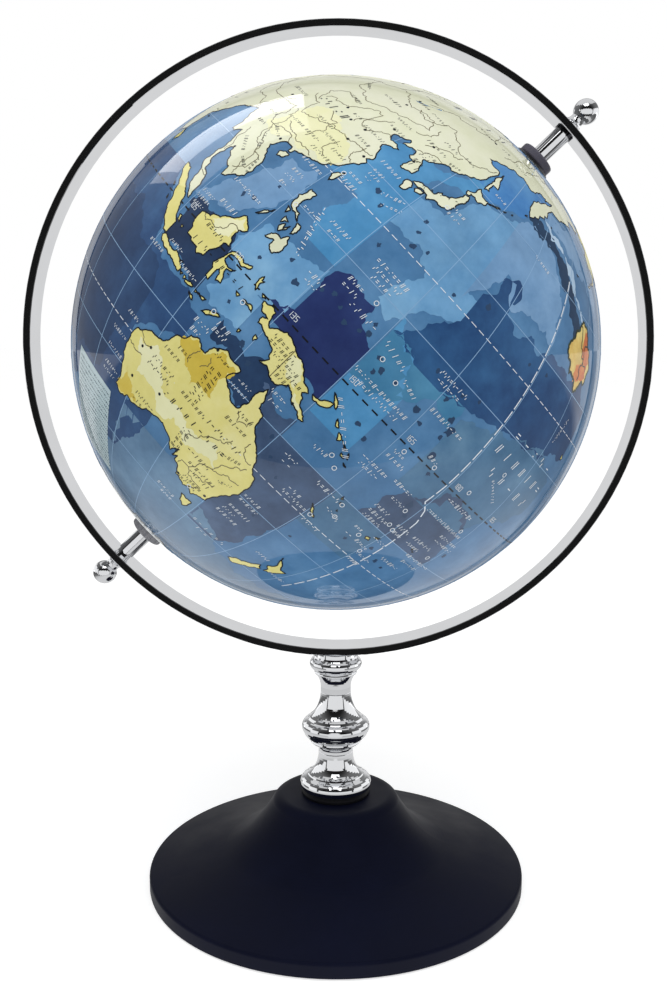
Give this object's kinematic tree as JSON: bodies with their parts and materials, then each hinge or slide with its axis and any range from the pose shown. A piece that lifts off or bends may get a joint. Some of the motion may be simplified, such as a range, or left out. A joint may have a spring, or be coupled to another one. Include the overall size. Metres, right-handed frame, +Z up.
{
  "type": "desktop globe on stand",
  "caption": "Desktop globe: a hollow ball on a tilted axle inside a full meridian ring, carried by a turned metal stem and a flared round base with a felt underside.",
  "frame": {"origin": "centre of the underside, where the felt rests on the table", "axes": "+Z up; the meridian ring lies in the XZ plane; front is -Y; the north pole leans towards +X"},
  "size_m": [0.306, 0.254, 0.4286],
  "materials": {
    "navy_base": "satin navy paint",
    "steel_plate": "plain sheet steel",
    "felt": "black felt",
    "fastener": "zinc plated",
    "chrome": "polished chrome plate",
    "dark_steel": "blackened spring steel",
    "globe_sea": "printed sea under clear gloss",
    "globe_land": "printed land under clear gloss",
    "map_line": "printed map lines and hatch strokes",
    "inner_plastic": "moulded plastic",
    "cap_dark": "dark grey moulded plastic",
    "cap_light": "mid grey moulded plastic"
  },
  "bodies": {
    "stand": {"base_shell": "navy_base", "base_weight": "steel_plate", "felt_pad": "felt", "base_plate_screws": "fastener", "tie_rod": "fastener", "tie_rod_washer": "fastener", "tie_rod_nut": "fastener", "stem_foot": "chrome", "stem_knop": "chrome", "stem_cap": "chrome", "meridian_ring": "chrome", "axle_rod": "fastener", "north_finial": "chrome", "south_finial": "chrome", "north_sleeve": "chrome", "south_sleeve": "chrome", "north_lock_washer": "dark_steel", "south_ferrule": "chrome"},
    "globe": {"north_hemisphere": "globe_sea", "south_hemisphere": "globe_sea", "equator_coupling": "inner_plastic", "north_bushing": "inner_plastic", "south_bushing": "inner_plastic", "north_pole_plate": "dark_steel", "south_pole_plate": "dark_steel", "north_pole_cap": "cap_dark", "south_pole_cap": "cap_light"}
  },
  "joints": [
    {"name": "globe_spin", "type": "hinge", "parent": "stand", "child": "globe", "pos_m": [0, 0, 0.2756], "axis": [0.7254, 0, 0.6884], "continuous": true}
  ]
}
